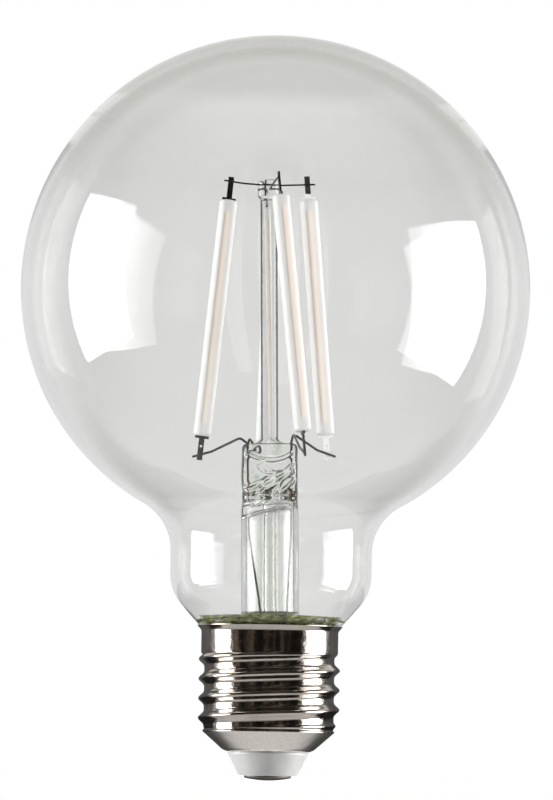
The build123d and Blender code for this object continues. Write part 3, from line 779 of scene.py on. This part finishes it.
def shell_radius(turn, level):
    """Outside of the shell at a bearing and level."""
    cone_slope = (THREAD_MINOR_RADIUS + CONE_TOP_STEP - CONE_FOOT_RADIUS) / CONE_HEIGHT
    cone = CONE_FOOT_RADIUS + (level - shell_foot) * cone_slope
    fall = THREAD_MINOR_RADIUS + CONE_TOP_STEP - (level - thread_foot)
    cone = soft_min(cone, fall, ROLL_BLEND)
    skirt = soft_min(SKIRT_RADIUS, SKIRT_RADIUS + (level - skirt_foot), ROLL_BLEND)
    flare = rim_radius - (cap_top - level) * shoulder_slope
    skirt = soft_max(skirt, flare, ROLL_BLEND) if level > skirt_foot else skirt
    plain = max(cone, skirt)
    if level < thread_foot:
        return plain
    return min(soft_max(thread_radius(turn, level), plain, ROLL_BLEND / 2), rim_radius)


def shell_ring(level, inset):
    """A ring round the shell, drawn in by an inset."""
    ring = []
    for i in range(SHELL_SEGMENTS):
        turn = 2 * pi * i / SHELL_SEGMENTS
        radius = shell_radius(turn, level) - inset
        ring.append((radius * cos(turn), radius * sin(turn), level))
    return ring


def make_shell():
    """The rolled sheet, up its outside and back down its inside."""
    levels = steps(shell_foot, cap_top, SHELL_ROW)
    foot = CONE_FOOT_RADIUS - CONE_FOOT_ROUND
    rings = [circle(radius, shell_foot, SHELL_SEGMENTS) for radius in (LIP_RADIUS, foot)]
    for level in levels[1:]:
        rise = level - shell_foot
        tuck = CONE_FOOT_ROUND * (1 - min(rise / CONE_FOOT_ROUND, 1)) ** 2
        rings.append(shell_ring(level, tuck))
    rings += [shell_ring(level, SHELL_WALL) for level in levels[:1:-1]]
    rings.append(circle(LIP_RADIUS, shell_foot + SHELL_WALL, SHELL_SEGMENTS))
    piece = skin("rolled_screw_shell", rings, closed=True)
    piece.data.materials.append(nickel_finish())
    stands_for(piece, "cap_nickel", "cap_shell")


# Stem


def fold_curve(*corners):
    """Points along a fold: a curve from its first place to its last, drawn towards its middle one."""
    points = []
    for share in steps(0, 1, 1 / FOLD_POINTS):
        weights = ((1 - share) ** 2, 2 * share * (1 - share), share * share)
        across = sum(weight * corner[0] for weight, corner in zip(weights, corners))
        rise = sum(weight * corner[1] for weight, corner in zip(weights, corners))
        points.append((across, press_foot + rise))
    return points


fold_curves = [(fold_curve(*corners), deep, width) for *corners, deep, width in FOLDS]


def fold_depth(x, level):
    """How far the folds draw the pressed glass in at a place on its front."""
    depth = 0
    for curve, deep, width in fold_curves:
        nearest = min(hypot(x - across, level - fold_level) for across, fold_level in curve)
        nearest = min(nearest, width * FOLD_REACH)
        depth += FOLD_GAIN * deep * exp(-((nearest / width) ** 2))
    return depth


def stem_ring(radius, half_depth, level):
    """A ring of the stem, round or pressed flat to a half depth, with the press's lumps and folds."""
    flat = min(max((radius - half_depth) / (PRESS_FLAT_SHARE * radius), 0), 1)
    lumps = ease(level, tube_top - LUMP_START_DROP, press_foot)
    lumps *= 1 - ease(level, press_top - LUMP_END_DROP, press_top + LUMP_END_RISE)
    ring = []
    for i in range(STEM_SEGMENTS):
        turn = 2 * pi * i / STEM_SEGMENTS
        x, y = radius * cos(turn), radius * sin(turn)
        share = y / half_depth
        pressed = y / (1 + abs(share) ** PRESS_SQUARENESS) ** (1 / PRESS_SQUARENESS)
        y += (pressed - y) * flat
        if lumps > 0:
            front = min(abs(y) / half_depth, 1)
            swell = noise.noise(Vector((x, y, level)) / LUMP_SPAN)
            drawn = LUMP_HEIGHT * (0.5 + swell) + (fold_depth(x, level) * front if y < 0 else 0)
            y -= copysign(min(lumps * max(drawn, 0), LARGEST_DRAW * abs(y)), y)
            waist = noise.noise(Vector((copysign(PINCH_PLACE, x), 0, level)) / LUMP_SPAN)
            x *= 1 - PRESS_PINCH * lumps * (0.5 + waist)
        ring.append(stem_place @ Vector((x, y, level)))
    return ring


def stem_outline():
    """Radius, half depth and level up the outside of the stem, from the flange's edge to the button."""
    bend = tube_foot + FLANGE_ROUND
    turned = [(FLANGE_FOOT_RADIUS, seal_level + FLANGE_FOOT_RISE)]
    turned += [(FLANGE_TOP_RADIUS, tube_foot - FLANGE_TOP_DROP)]
    turned += arc((TUBE_RADIUS + FLANGE_ROUND, bend), FLANGE_ROUND, 270, 180, FLANGE_ROW)
    turned += [(TUBE_RADIUS, level) for level in steps(bend, tube_top, TUBE_ROW)[1:]]
    rows = [(radius, radius, level) for radius, level in turned]
    for level in steps(tube_top, press_top - PRESS_ROUND, PRESS_ROW)[1:]:
        share = ease(level, tube_top, press_foot)
        rows.append((TUBE_RADIUS, TUBE_RADIUS + (PRESS_HALF_DEPTH - TUBE_RADIUS) * share, level))
    for drop, level in arc((0, press_top - PRESS_ROUND), PRESS_ROUND, 0, 90, ROUND_ROW)[1:]:
        tuck = PRESS_ROUND - drop
        rows.append((TUBE_RADIUS - tuck, PRESS_HALF_DEPTH - tuck, level))
    shelf = TUBE_RADIUS - PRESS_ROUND
    depth = PRESS_HALF_DEPTH - PRESS_ROUND
    for share in ROD_FILLET_SHARES:
        radius = shelf + (ROD_RADIUS - shelf) * share
        half_depth = depth + (ROD_RADIUS - depth) * share
        rows.append((radius, half_depth, press_top + ROD_FILLET * share**ROD_FILLET_POWER))
    rod = [(ROD_RADIUS, level) for level in steps(press_top + ROD_FILLET, button_foot, PLAIN_ROW)[1:]]
    neck = steps(button_foot, button_foot + BUTTON_TAPER, BUTTON_ROW)
    for level in neck[1:]:
        rod.append((ROD_RADIUS + (BUTTON_RADIUS - ROD_RADIUS) * ease(level, neck[0], neck[-1]), level))
    crown_centre = (BUTTON_RADIUS - BUTTON_ROUND, button_top - BUTTON_ROUND)
    rod += arc(crown_centre, BUTTON_ROUND, 0, 90, BUTTON_ROW)
    return rows + [(radius, radius, level) for radius, level in rod]


def hollow_outline():
    """Radius and level round the tube's hollow: up the exhaust tube's outside and down to the flange."""
    bend = seal_level + FLANGE_ROUND
    tip = EXHAUST_RADIUS - EXHAUST_TIP_ROUND
    straight = exhaust_tip + EXHAUST_TIP_ROUND
    root = tube_top - EXHAUST_TOP_ROUND
    return joined(
        [(0, exhaust_tip), (tip, exhaust_tip)],
        arc((tip, straight), EXHAUST_TIP_ROUND, 270, 360, FLANGE_ROW),
        [(EXHAUST_RADIUS, level) for level in steps(straight, root, PLAIN_ROW)],
        arc((EXHAUST_RADIUS + EXHAUST_TOP_ROUND, root), EXHAUST_TOP_ROUND, 180, 90, ROUND_ROW),
        arc((hollow_radius - HOLLOW_ROUND, tube_top - HOLLOW_ROUND), HOLLOW_ROUND, 90, 0, ROUND_ROW),
        [(hollow_radius, level) for level in steps(tube_top - HOLLOW_ROUND, bend, PLAIN_ROW)],
        arc((hollow_radius + FLANGE_ROUND, bend), FLANGE_ROUND, 180, 270, FLANGE_ROW),
    )


def slanted(point):
    """The point raised towards the right near the top of the tube's hollow."""
    share = ease(point.z, tube_top - HOLLOW_SLANT_FADE, tube_top)
    return point + Vector((0, 0, HOLLOW_SLANT * point.x * share))


def make_stem():
    """The stem's glass in one skin, clear in the tube, tinted in the press and grey in the rod."""
    rings = []
    for radius, level in hollow_outline():
        ring = circle(radius, level, STEM_SEGMENTS)
        rings.append([stem_place @ slanted(Vector(point)) for point in ring])
    rings += [stem_ring(*row) for row in stem_outline()]
    rings.append([stem_place @ Vector((0, 0, button_top))])
    piece = skin("stem_glass_body", rings)
    slots = {}
    for glass in STEM_GLASSES:
        slots[glass] = len(piece.data.materials)
        piece.data.materials.append(finishes[glass])
    for face in piece.data.polygons:
        level = face.center.z / MM
        if press_foot - PRESS_TINT_DROP < level < press_top:
            face.material_index = slots["press_glass"]
        elif press_top < level < button_foot:
            face.material_index = slots["rod_glass"]
    stands_for(piece, "stem_glass", "stem_flare", "stem_rod")


def make_bore():
    """The hollow in the exhaust tube, closed at both ends, with its skin facing into it."""
    foot = exhaust_tip + 2 * EXHAUST_RADIUS
    sides = steps(foot + BORE_POINT, tube_top + BORE_RISE, PLAIN_ROW)
    outline = [(0, foot)] + [(BORE_RADIUS, level) for level in sides] + [(0, tube_top + BORE_TIP_RISE)]
    rings = []
    for radius, level in outline:
        rings.append([stem_place @ Vector(point) for point in circle(radius, level, STEM_SEGMENTS)])
    piece = skin("exhaust_bore", rings)
    piece.data.flip_normals()
    piece.data.materials.append(finishes["stem_glass"])
    stands_for(piece, "stem_glass", "exhaust_tube")


def make_seal():
    """The fused edge of the stem's flange, lumpy where it was melted on to the envelope's cone."""
    wall = GLASS_WALL / cos(radians(SHOULDER_ANGLE)) + SEAL_GAP
    rings = []
    for i in range(SEAL_POINTS):
        tilt = 2 * pi * i / SEAL_POINTS
        ring = []
        for j in range(GLASS_SEGMENTS):
            turn = 2 * pi * j / GLASS_SEGMENTS
            melt = noise.noise(Vector((cos(turn) * SEAL_MELT_REACH, sin(turn) * SEAL_MELT_REACH, 0)))
            level = tube_foot - SEAL_HEIGHT / 2 * (1 - sin(tilt)) * (1 - SEAL_MELT + SEAL_MELT * melt)
            cone = seat_radius + (level - cap_top) * shoulder_slope - wall
            radius = cone - SEAL_DEPTH / 2 * (1 - cos(tilt))
            ring.append((radius * cos(turn), radius * sin(turn), level))
        rings.append(ring)
    piece = skin("seal_edge", rings, closed=True)
    piece.data.materials.append(seal_finish())
    stands_for(piece, "stem_glass", "stem_flare")


# Filaments


def polar(bearing, radius, level):
    """A point at a bearing and radius about the axis."""
    return Vector((radius * cos(radians(bearing)), radius * sin(radians(bearing)), level))


def filament_place(bearings):
    """The middle of a filament, with Z along it and X towards the bearing its edge faces."""
    head = polar(bearings["head"], HEAD_RING_RADIUS, button_top + HEAD_RISE + bearings["lift"])
    foot = polar(bearings["foot"], bearings["reach"], 0)
    spread_out = hypot(head.x - foot.x, head.y - foot.y)
    foot.z = head.z - sqrt(FILAMENT_LENGTH**2 - spread_out**2)
    along = (head - foot).normalized()
    out = polar(bearings["face"], 1, 0)
    out = (out - along * out.dot(along)).normalized()
    across = along.cross(out)
    turn = Matrix((out, across, along)).transposed().to_4x4()
    return stem_place @ Matrix.Translation((head + foot) / 2) @ turn


def bead_ring(level, tuck):
    """A rounded square around the bead, drawn in by a tuck."""
    half_width, half_height = BEAD_WIDTH / 2 - tuck, BEAD_HEIGHT / 2 - tuck
    corner = BEAD_ROUND - tuck / 2
    ring = []
    for quarter in range(4):
        sign_x = 1 if quarter in (0, 3) else -1
        sign_y = 1 if quarter in (0, 1) else -1
        centre = (sign_x * (half_width - corner), sign_y * (half_height - corner))
        step = corner * pi / 2 / BEAD_CORNER_POINTS
        ring += [(*point, level) for point in arc(centre, corner, 90 * quarter, 90 * quarter + 90, step)]
    return ring


def make_filament(name, bearings):
    """A bead of silicone with rounded ends and slightly wavy sides."""
    half = BEAD_LENGTH / 2
    ends = arc((half - BEAD_END_ROUND, 0), BEAD_END_ROUND, 90, 0, BEAD_END_ROW)
    tips = [(level, BEAD_END_ROUND - reach) for level, reach in ends]
    rows = [(-level, tuck) for level, tuck in tips[::-1]]
    for level in steps(-half + BEAD_PLAIN_END, half - BEAD_PLAIN_END, BEAD_ROW):
        rows.append((level, BEAD_WAVE * (1 + sin(level * BEAD_WAVE_RATE))))
    rows += tips
    rings = [[(0, 0, -half)]] + [bead_ring(level, tuck) for level, tuck in rows] + [[(0, 0, half)]]
    piece = skin(f"filament_bead_{name}", rings)
    place = filament_place(bearings)
    piece.matrix_world = Matrix.Translation(place.translation * MM) @ place.to_3x3().to_4x4()
    piece.data.materials.append(phosphor_finish(f"phosphor_{name}", *STRIPES[name]))
    stands_for(piece, "phosphor", f"filament_{name}_phosphor", f"filament_{name}_strip")


# CAD nodes that keep their shape, by their finish
NODES = {
    "insulator_white": ["cap_insulator"],
    "contact_nickel": ["centre_contact"],
    "cement": ["cap_cement"],
    "anchor_wire": ["anchor_wire_sides", "anchor_wire_front_back"],
    "lead_wire": ["inner_lead_left", "inner_lead_right", "branch_lead_left", "branch_lead_right"],
    "seal_copper": ["seal_wire_left", "seal_wire_right"],
    "outer_copper": ["outer_lead_left", "outer_lead_right"],
    "board": ["driver_board"],
    "package_black": ["bridge_rectifier", "current_regulator"],
    "capacitor_sleeve": ["smoothing_capacitor"],
    "fuse_body": ["fuse_resistor"],
    "hookup_wire": ["live_wire", "neutral_wire"],
    "tab_metal": [
        f"filament_{name}_{end}_tab" for name in ("left", "front", "back") for end in ("foot", "head")
    ],
    # The right filament's tabs, white with painted highlights
    "tab_painted_highlight": ["filament_right_foot_tab"],
    "tab_with_painted_highlight_below": ["filament_right_head_tab"],
}


def finish_nodes():
    """Gives its finish to each CAD node that keeps its shape."""
    for finish, names in NODES.items():
        for name in names:
            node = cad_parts[name]
            node.data.materials.clear()
            node.data.materials.append(finishes[finish])


# Stage: fill light, floor and lamps
FILL = 0.84
FLOOR_RINGS = (0.0, 20.0, 60.0, 120.0, 200.0)
FLOOR_SEGMENTS = 96
FLOOR_LEVEL = -0.02
FLOOR_COLOUR = (0.88, 0.88, 0.88)
FLOOR_GLOW = 0.45
PANEL_DISTANCE = 900.0

# Large lamps, and small low ones for the insulator: bearing, distance, level, width, height, spread, power
LAMPS = {
    "lamp": (85.0, PANEL_DISTANCE, globe_level, 600.0, 850.0, 180.0, 8.2),
    "low_lamp": (88.0, 150.0, 6.0, 12.0, 12.0, 14.0, 0.0021),
}

# Dome of dark cloth, its bands being shares of its radius
DOME_RADIUS = 1300.0
DOME_STEP = 7.5
DOME_SEGMENTS = 48
BACKDROP_BAND = (0.0, 0.8)
BACKDROP_GLOW = 0.78
UPPER_BAND = (0.25, 0.36)
UPPER_BAND_END = (0.6, 0.48)
UPPER_GLOW = 0.82
LOWER_BAND = (-0.5, -0.2)
LOWER_GLOW = 0.18
GROUND_BAND = (-0.15, -0.7)
GROUND_FRONT = (0.7, 0.4)
GROUND_GLOW = 0.66
SHAPE_SPAN = 210.0
SHAPE_STRETCH = (1, 1, 0.2)
SHAPE_BAND = (0.46, 0.74)
SHAPE_DARK = 0.004
SHAPE_GLOW = 0.2
WHITE = (1.0, 1.0, 1.0)
WARM = (1.0, 0.8, 0.62)
WARM_END = 0.2

# Dark card behind the cap
CARD_DISTANCE = 17.0
CARD_HALF_WIDTH = 60.0
CARD_FOOT = -20.0
CARD_TOP = 31.0
CARD_GLOW = 0.13
CARD_GRAIN = 12.0
CARD_GRAIN_SHARES = (0.3, 1.7)
CARD_SHADE = (8.0, 15.0)
CARD_SHADE_SHARE = 0.15

# Panels that gloss sees: bearing, half angle, rise, height, strength and its share at the camera's side
PANELS = {
    "panel_left": (-86.9, 16.8, 65.0, 850.0, 7.0, 0.6),
    "panel_left_outer": (-115.5, 8.5, 60.0, 1100.0, 0.4, 1.0),
    "panel_right": (84.0, 22.0, -52.0, 850.0, 7.0, 0.34),
    "panel_right_outer": (119.5, 10.5, -60.0, 1100.0, 0.4, 1.0),
}
PANEL_FADE = 0.6

# Light reflected this many times inside the glass sees plainer surroundings
DEEP_REFLECTIONS = 4
DEEP_GLOW = 0.72
DEEP_PANEL_GLOW = 1.15

# Light that enters the thick crown is passed along inside its wall many times before it leaves
LIGHT_BOUNCES = 80

# Camera
CAMERA_DISTANCE = 760.0
CAMERA_LEVEL = 3.7
AIM_LEVEL = 70.65
CAMERA_ROLL = 0.954
CAMERA_LENS = 184.15
CAMERA_SHIFT = 0.0034
CAMERA_CLIP = 10.0
SENSOR_WIDTH = 36.0


def after_gloss(tree, times=1):
    """1 for rays that have been reflected so many times, whether or not they then pass through glass."""
    path = add(tree, "LightPath")
    return combined(tree, "GREATER_THAN", path.outputs["Glossy Depth"], times - 0.5)


def seen_directly(tree):
    """1 for rays that look at the stage from the camera, from gloss or through glass."""
    path = add(tree, "LightPath")
    value = combined(tree, "MAXIMUM", path.outputs["Is Camera Ray"], path.outputs["Is Glossy Ray"])
    return combined(tree, "MAXIMUM", value, path.outputs["Is Transmission Ray"])


def show_to_gloss(piece, strength, deep, tree, output, colour=WHITE):
    """Shows a piece white through glass, with one glow for reflected rays and another deep in the glass."""
    glow = add(tree, "Emission")
    feed(tree, colour, glow.inputs["Color"])
    reflected = mixed(tree, after_gloss(tree), 1.0, strength, "FLOAT")
    total = mixed(tree, after_gloss(tree, DEEP_REFLECTIONS), reflected, deep, "FLOAT")
    show(tree, output, glow, Strength=total)
    for unseen in ("visible_camera", "visible_diffuse", "visible_shadow"):
        setattr(piece, unseen, False)


def make_world():
    """White all round, a little less for the light that it gives than where it is seen."""
    world = bpy.data.worlds.new("studio")
    bpy.context.scene.world = world
    world.use_nodes = True
    tree = world.node_tree
    tree.nodes.clear()
    output = add(tree, "OutputWorld")
    back = add(tree, "Background", Color=(*WHITE, 1))
    show(tree, output, back, Strength=spread(tree, seen_directly(tree), FILL, 1.0))


def make_floor():
    """A pale floor that keeps the lamp's shadow, and that reflected rays pass through to the room."""
    floor = skin("floor", [circle(radius, FLOOR_LEVEL, FLOOR_SEGMENTS) for radius in FLOOR_RINGS])
    material, tree, output = new_material("floor_white")
    floor.data.materials.append(material)
    base = add(tree, "BsdfDiffuse", Color=(*FLOOR_COLOUR, 1))
    glow = add(tree, "Emission")
    tree.links.new(spread(tree, seen_directly(tree), 0.0, FLOOR_GLOW), glow.inputs["Strength"])
    total = add(tree, "AddShader")
    tree.links.new(base.outputs["BSDF"], total.inputs[0])
    tree.links.new(glow.outputs["Emission"], total.inputs[1])
    through = add(tree, "BsdfTransparent")
    show(tree, output, either(tree, after_gloss(tree), total, through))


def make_dark_room():
    """Dark cloth that gloss sees, paler at the back and on the ground, with faint brown shapes."""
    rings = []
    for rise in steps(-90, 90, DOME_STEP):
        level = globe_level + DOME_RADIUS * sin(radians(rise))
        rings.append(circle(DOME_RADIUS * cos(radians(rise)), level, DOME_SEGMENTS))
    room = skin("dark_room", rings)
    material, tree, output = new_material("dark_cloth")
    room.data.materials.append(material)
    own = own_axes(tree)

    def band(axis, limits):
        """A smooth step along an axis of the dome."""
        return smooth_step(tree, own[axis], limits[0] * DOME_RADIUS * MM, limits[1] * DOME_RADIUS * MM)

    high = combined(tree, "MULTIPLY", band("Z", UPPER_BAND), band("Z", UPPER_BAND_END))
    upper = spread(tree, high, BACKDROP_GLOW, UPPER_GLOW)
    lower = spread(tree, band("Z", LOWER_BAND), LOWER_GLOW, 1.0)
    pale = combined(tree, "MULTIPLY", band("Y", BACKDROP_BAND), combined(tree, "MULTIPLY", upper, lower))
    ground = combined(tree, "MULTIPLY", band("Z", GROUND_BAND), band("Y", GROUND_FRONT))
    pale = combined(tree, "MAXIMUM", pale, combined(tree, "MULTIPLY", ground, GROUND_GLOW))
    shapes = noise_field(tree, SHAPE_SPAN, detail=2.0, stretch=SHAPE_STRETCH)
    shapes = smooth_step(tree, shapes, *SHAPE_BAND)
    glow = combined(tree, "MAXIMUM", pale, spread(tree, shapes, SHAPE_DARK, SHAPE_GLOW))
    warm = ramp(tree, pale, [(0.0, WARM), (WARM_END, WHITE)])
    warm = mixed(tree, after_gloss(tree, DEEP_REFLECTIONS), warm, WHITE)
    colour = mixed(tree, after_gloss(tree), WHITE, warm)
    show_to_gloss(room, glow, DEEP_GLOW, tree, output, colour)


def make_card():
    """A dark card behind the cap that only gloss sees, which darkens the sides of the metal."""
    sides = (-CARD_HALF_WIDTH, CARD_HALF_WIDTH)
    rings = [[(side, CARD_DISTANCE, level) for side in sides] for level in (CARD_FOOT, CARD_TOP)]
    card = skin("dark_card", rings)
    material, tree, output = new_material("dark_card")
    card.data.materials.append(material)
    dimmest, brightest = (share * CARD_GLOW for share in CARD_GRAIN_SHARES)
    uneven = spread(tree, noise_field(tree, CARD_GRAIN, detail=2.0), dimmest, brightest)
    shade = spread(tree, level_field(tree, *CARD_SHADE), CARD_SHADE_SHARE, 1.0)
    show_to_gloss(card, combined(tree, "MULTIPLY", shade, uneven), CARD_GLOW, tree, output)
    card.visible_transmission = False


def stand_aside(bearing, level, distance):
    """A place beside the bulb, at a bearing from the camera's side, turned to face the bulb's axis."""
    turn = radians(bearing)
    aside = Vector((sin(turn), -cos(turn), 0)) * distance
    place = Vector((0, 0, level)) + aside
    return Matrix.Translation(place * MM) @ aside.to_track_quat("Z", "Y").to_matrix().to_4x4()


def make_panel(name, bearing, half_angle, rise, height, strength, inner):
    """A white panel that gloss sees beside the lamp, fading towards the camera's side."""
    half = PANEL_DISTANCE * tan(radians(half_angle))
    panel = skin(name, [[(-half, level, 0), (half, level, 0)] for level in (-height / 2, height / 2)])
    panel.matrix_world = stand_aside(bearing, globe_level + rise, PANEL_DISTANCE)
    material, tree, output = new_material(name)
    panel.data.materials.append(material)
    along = combined(tree, "MULTIPLY", own_axes(tree)["X"], copysign(1, bearing))
    fade = smooth_step(tree, along, -half * MM, (2 * PANEL_FADE - 1) * half * MM)
    show_to_gloss(panel, spread(tree, fade, inner * strength, strength), DEEP_PANEL_GLOW, tree, output)


def make_lamp(name, bearing, distance, level, width, height, spread_angle, power):
    """An area lamp that neither the camera, gloss nor glass shows."""
    light = bpy.data.lights.new(name, "AREA")
    light.shape = "RECTANGLE"
    light.size = width * MM
    light.size_y = height * MM
    light.spread = radians(spread_angle)
    light.energy = power
    lamp = bpy.data.objects.new(name, light)
    lamp.matrix_world = stand_aside(bearing, level, distance)
    for unseen in ("visible_camera", "visible_glossy", "visible_transmission"):
        setattr(lamp, unseen, False)
    bpy.context.scene.collection.objects.link(lamp)


def make_camera():
    """A camera low in front of the lamp, tilted up and rolled as in the photograph."""
    data = bpy.data.cameras.new("camera")
    data.sensor_width = SENSOR_WIDTH
    data.lens = CAMERA_LENS
    data.shift_x = CAMERA_SHIFT
    data.clip_start = CAMERA_CLIP * MM
    camera = bpy.data.objects.new("camera", data)
    place = Vector((0, -CAMERA_DISTANCE, CAMERA_LEVEL))
    aim = (Vector((0, 0, AIM_LEVEL)) - place).to_track_quat("-Z", "Y").to_matrix().to_4x4()
    roll = Matrix.Rotation(radians(CAMERA_ROLL), 4, "Z")
    camera.matrix_world = Matrix.Translation(place * MM) @ aim @ roll
    bpy.context.scene.collection.objects.link(camera)
    bpy.context.scene.camera = camera


# Finishes that pieces share or that CAD nodes take
finishes = {name: stem_finish(name, *look) for name, look in STEM_GLASSES.items()}
finishes |= {name: metal(name, *look) for name, look in METALS.items()}
finishes |= {name: matt(name, *look) for name, look in PIGMENTS.items()}
finishes["tab_with_painted_highlight_below"] = painted_highlight_tab_finish()

make_envelope()
make_shell()
make_stem()
make_bore()
make_seal()
for filament, bearings in FILAMENTS.items():
    make_filament(filament, bearings)
finish_nodes()
make_world()
make_floor()
make_dark_room()
make_card()
for panel, values in PANELS.items():
    make_panel(panel, *values)
for lamp, (bearing, *values) in LAMPS.items():
    make_lamp(f"{lamp}_left", -bearing, *values)
    make_lamp(f"{lamp}_right", bearing, *values)
make_camera()

scene = bpy.context.scene
scene.view_settings.view_transform = "Standard"
for limit in ("max_bounces", "transmission_bounces", "glossy_bounces", "transparent_max_bounces"):
    setattr(scene.cycles, limit, LIGHT_BOUNCES)
